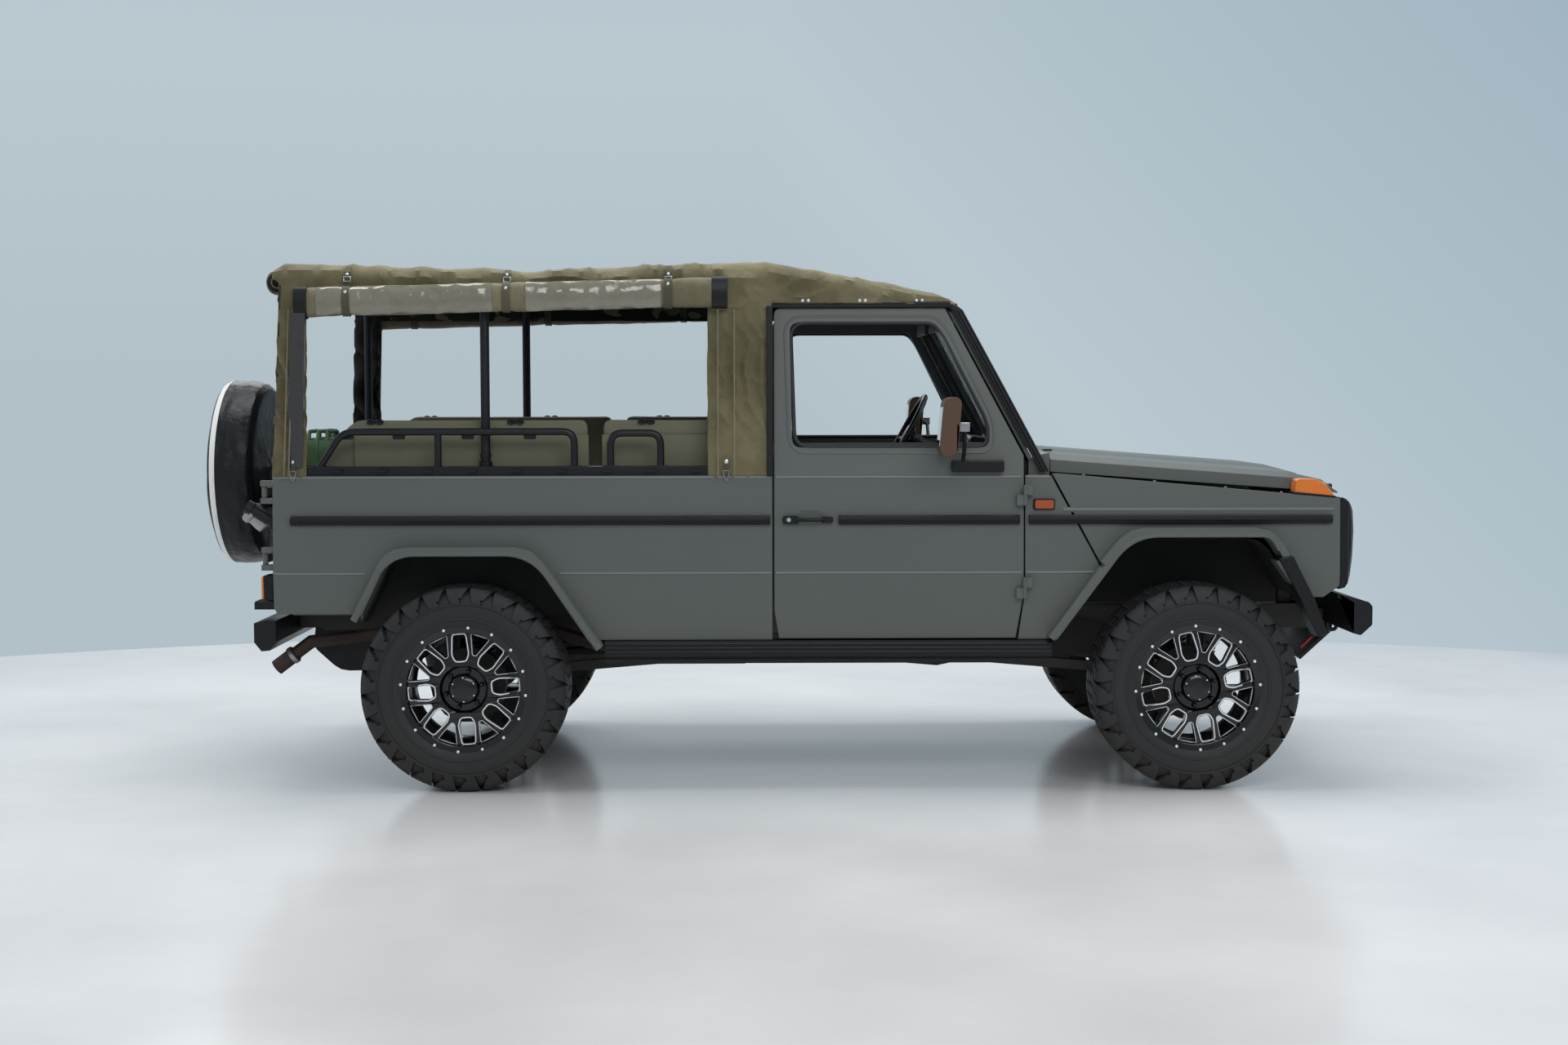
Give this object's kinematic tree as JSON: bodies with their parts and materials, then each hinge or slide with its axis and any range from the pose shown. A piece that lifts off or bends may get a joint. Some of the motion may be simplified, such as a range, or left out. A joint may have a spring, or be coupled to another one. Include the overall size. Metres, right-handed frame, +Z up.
{
  "type": "army off-road car",
  "caption": "Open four-wheel-drive army car with canvas roof, side doors, bonnet, side-hinged tail door with spare wheel, benches and steered front wheels.",
  "frame": {"origin": "on the floor, in the middle of the car's bounding box", "axes": "+X towards the front of the car, +Y to its left, +Z up"},
  "size_m": [4.65, 1.97, 2.064],
  "materials": {
    "body_paint": "matte grey-olive paint",
    "canvas": "olive tarpaulin",
    "black_plastic": "matte black",
    "black_steel": "satin black",
    "hoop_steel": "matte olive",
    "chassis_black": "chassis paint",
    "cast_parts": "cast",
    "rusty_steel": "rusty",
    "rim": "gloss black",
    "tyre": "rubber",
    "rubber_mat": "ribbed mat",
    "clear_glass": "clear",
    "lamp_lens": "gloss lens",
    "red_paint": "satin red",
    "cover_paint": "matte",
    "seat_cloth": "upholstery",
    "can_green": "matte green"
  },
  "bodies": {
    "chassis": {"front_axle": "chassis_black", "rear_axle": "chassis_black", "ladder_frame": "chassis_black", "suspension": "chassis_black", "engine_and_driveline": "cast_parts", "exhaust": "rusty_steel", "fuel_tank_and_filler": "black_plastic", "side_panel_right": "body_paint", "side_panel_left": "body_paint", "floor_tub": "body_paint", "load_mat": "rubber_mat", "sill_boards": "black_plastic", "cowl_and_bulkhead": "body_paint", "windscreen_frame": "body_paint", "windscreen_glass": "clear_glass", "fender_right": "body_paint", "fender_left": "body_paint", "grille_mask": "black_plastic", "lamps": "lamp_lens", "front_bumper": "black_plastic", "rear_bumper": "black_plastic", "skid_plate": "red_paint", "canopy": "canvas", "canopy_frame": "hoop_steel", "curtain_rolls": "canvas", "bed_rails": "black_steel", "bench_frames": "black_steel", "bench_cushions": "seat_cloth", "jerry_can": "can_green", "can_stand": "black_steel", "front_seats": "seat_cloth", "dashboard": "black_plastic"},
    "wheel_front_right": {"rim_front_right": "rim", "tyre_front_right": "tyre"},
    "wheel_front_left": {"rim_front_left": "rim", "tyre_front_left": "tyre"},
    "wheel_rear_right": {"rim_rear_right": "rim", "tyre_rear_right": "tyre"},
    "wheel_rear_left": {"rim_rear_left": "rim", "tyre_rear_left": "tyre"},
    "knuckle_right": {"knuckle_right": "cast_parts"},
    "knuckle_left": {"knuckle_left": "cast_parts"},
    "tie_rod": {"tie_rod": "chassis_black"},
    "steering_wheel": {"steering_wheel": "black_plastic"},
    "door_right": {"door_right": "body_paint", "mirror_right": "black_plastic"},
    "door_left": {"door_left": "body_paint", "mirror_left": "black_plastic"},
    "bonnet": {"bonnet": "body_paint"},
    "tail_door": {"tail_door": "body_paint", "spare_bracket": "black_steel", "spare_wheel_cover": "cover_paint"}
  },
  "joints": [
    {"name": "spin_rear_right", "type": "hinge", "parent": "chassis", "child": "wheel_rear_right", "pos_m": [-1.215, -0.737, 0.401], "axis": [0, 1, 0], "continuous": true},
    {"name": "spin_rear_left", "type": "hinge", "parent": "chassis", "child": "wheel_rear_left", "pos_m": [-1.215, 0.737, 0.401], "axis": [0, 1, 0], "continuous": true},
    {"name": "steer_right", "type": "hinge", "parent": "chassis", "child": "knuckle_right", "pos_m": [1.635, -0.59, 0.401], "axis": [0, 0, 1], "range_deg": [-30, 30]},
    {"name": "steer_left", "type": "hinge", "parent": "chassis", "child": "knuckle_left", "pos_m": [1.635, 0.59, 0.401], "axis": [0, 0, 1], "range_deg": [-30, 30]},
    {"name": "tie_rod_ball", "type": "hinge", "parent": "knuckle_right", "child": "tie_rod", "pos_m": [1.835, -0.59, 0.335], "axis": [0, 0, 1], "range_deg": [-30, 30]},
    {"name": "spin_front_right", "type": "hinge", "parent": "knuckle_right", "child": "wheel_front_right", "pos_m": [1.635, -0.737, 0.401], "axis": [0, 1, 0], "continuous": true},
    {"name": "spin_front_left", "type": "hinge", "parent": "knuckle_left", "child": "wheel_front_left", "pos_m": [1.635, 0.737, 0.401], "axis": [0, 1, 0], "continuous": true},
    {"name": "steering_column", "type": "hinge", "parent": "chassis", "child": "steering_wheel", "pos_m": [0.577, 0.36, 1.365], "axis": [-0.8805, 0, 0.4741], "range_deg": [-480, 480]},
    {"name": "door_hinge_right", "type": "hinge", "parent": "chassis", "child": "door_right", "pos_m": [0.966, -0.812, 0.967], "axis": [0, 0, 1], "range_deg": [0, 65]},
    {"name": "door_hinge_left", "type": "hinge", "parent": "chassis", "child": "door_left", "pos_m": [0.966, 0.812, 0.967], "axis": [0, 0, -1], "range_deg": [0, 65]},
    {"name": "bonnet_hinge", "type": "hinge", "parent": "chassis", "child": "bonnet", "pos_m": [1.077, 0, 1.331], "axis": [0, -1, 0], "range_deg": [0, 55]},
    {"name": "tail_door_hinge", "type": "hinge", "parent": "chassis", "child": "tail_door", "pos_m": [-1.991, -0.765, 1.035], "axis": [0, 0, 1], "range_deg": [0, 100]}
  ],
  "couplings": [
    {"joint": "steer_left", "follows": "steer_right", "ratio": 1},
    {"joint": "tie_rod_ball", "follows": "steer_right", "ratio": -1},
    {"joint": "steering_column", "follows": "steer_right", "ratio": 16}
  ]
}
